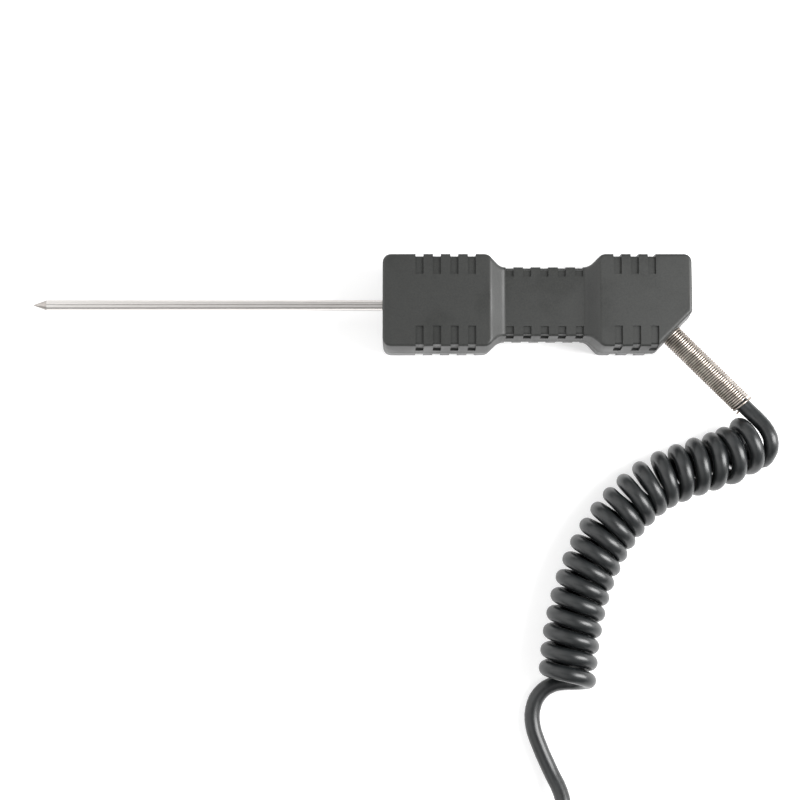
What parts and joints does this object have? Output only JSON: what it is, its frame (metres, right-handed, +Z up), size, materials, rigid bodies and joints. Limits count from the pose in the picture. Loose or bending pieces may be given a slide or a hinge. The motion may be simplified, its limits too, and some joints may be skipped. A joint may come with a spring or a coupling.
{
  "type": "grain moisture meter stab probe",
  "caption": "Waisted two-shell probe handle with grip notches, a thin pointed stainless needle, a coil-spring strain relief and a curly lead to a round screw-ring plug.",
  "frame": {"origin": "on the surface that the probe lies on, below the middle of the needle and handle together", "axes": "+X from the needle's point to the handle's tail, +Y across the handle away from the lead's corner, +Z up from the back shell to the front shell"},
  "size_m": [0.2545, 0.2363, 0.024],
  "materials": {
    "shell_plastic": "fine moulded texture",
    "screw_steel": "zinc plated",
    "needle_steel": "drawn stainless tube, finely polished",
    "epoxy": "cast",
    "sensor": "welded bead",
    "ceramic": "fired ceramic",
    "sensor_alloy": "bare alloy wire",
    "collar_steel": "turned",
    "black_steel": "black oxide",
    "seal_rubber": "matte",
    "sleeve_red": "heat-shrink",
    "sleeve_white": "heat-shrink",
    "core_red": "extruded PVC",
    "core_white": "extruded PVC",
    "cord_jacket": "glossy black polyurethane",
    "clamp_plastic": "moulded",
    "spring_wire": "nickel-plated spring wire",
    "plug_nickel": "satin nickel plate",
    "insert_plastic": "moulded",
    "contact_brass": "gold-plated"
  },
  "bodies": {
    "handle": {"front_shell": "shell_plastic", "back_shell": "shell_plastic", "shell_screw_1": "screw_steel", "shell_screw_2": "screw_steel", "shell_screw_3": "screw_steel", "shell_screw_4": "screw_steel", "probe_tube": "needle_steel", "probe_tip": "needle_steel", "tip_filling": "epoxy", "sensor_bead": "sensor", "tube_insulator": "ceramic", "sensor_wire_pos": "sensor_alloy", "sensor_wire_neg": "sensor_alloy", "tube_collar": "collar_steel", "collar_grub_screw": "black_steel", "tube_seal": "seal_rubber", "splice_sleeve_pos": "sleeve_red", "splice_sleeve_neg": "sleeve_white", "core_red": "core_red", "core_white": "core_white", "cable_end": "cord_jacket", "cable_clamp": "clamp_plastic", "clamp_screw_1": "screw_steel", "clamp_screw_2": "screw_steel", "spring_bush": "seal_rubber", "strain_relief_spring": "spring_wire", "cord_in_spring": "cord_jacket"},
    "lead": {"cord_lead": "cord_jacket", "cord_coil": "cord_jacket", "cord_tail": "cord_jacket", "plug_boot": "seal_rubber", "plug_body": "plug_nickel", "plug_set_screw": "black_steel", "plug_insert": "insert_plastic", "plug_contacts": "contact_brass", "plug_cores": "core_red", "ring_circlip": "collar_steel"},
    "plug_ring": {"coupling_ring": "plug_nickel"}
  },
  "joints": [
    {"name": "strain_relief_flex", "type": "hinge", "parent": "handle", "child": "lead", "pos_m": [0.11852, -0.02252, 0.012], "axis": [0, 0, 1], "range_deg": [-20, 20], "stiffness_Nm_per_rad": 0.1, "deforming": ["strain_relief_spring", "cord_in_spring"]},
    {"name": "coupling_ring_spin", "type": "hinge", "parent": "lead", "child": "plug_ring", "pos_m": [0.06854, -0.21454, 0.0075], "axis": [0, -1, 0], "continuous": true}
  ]
}
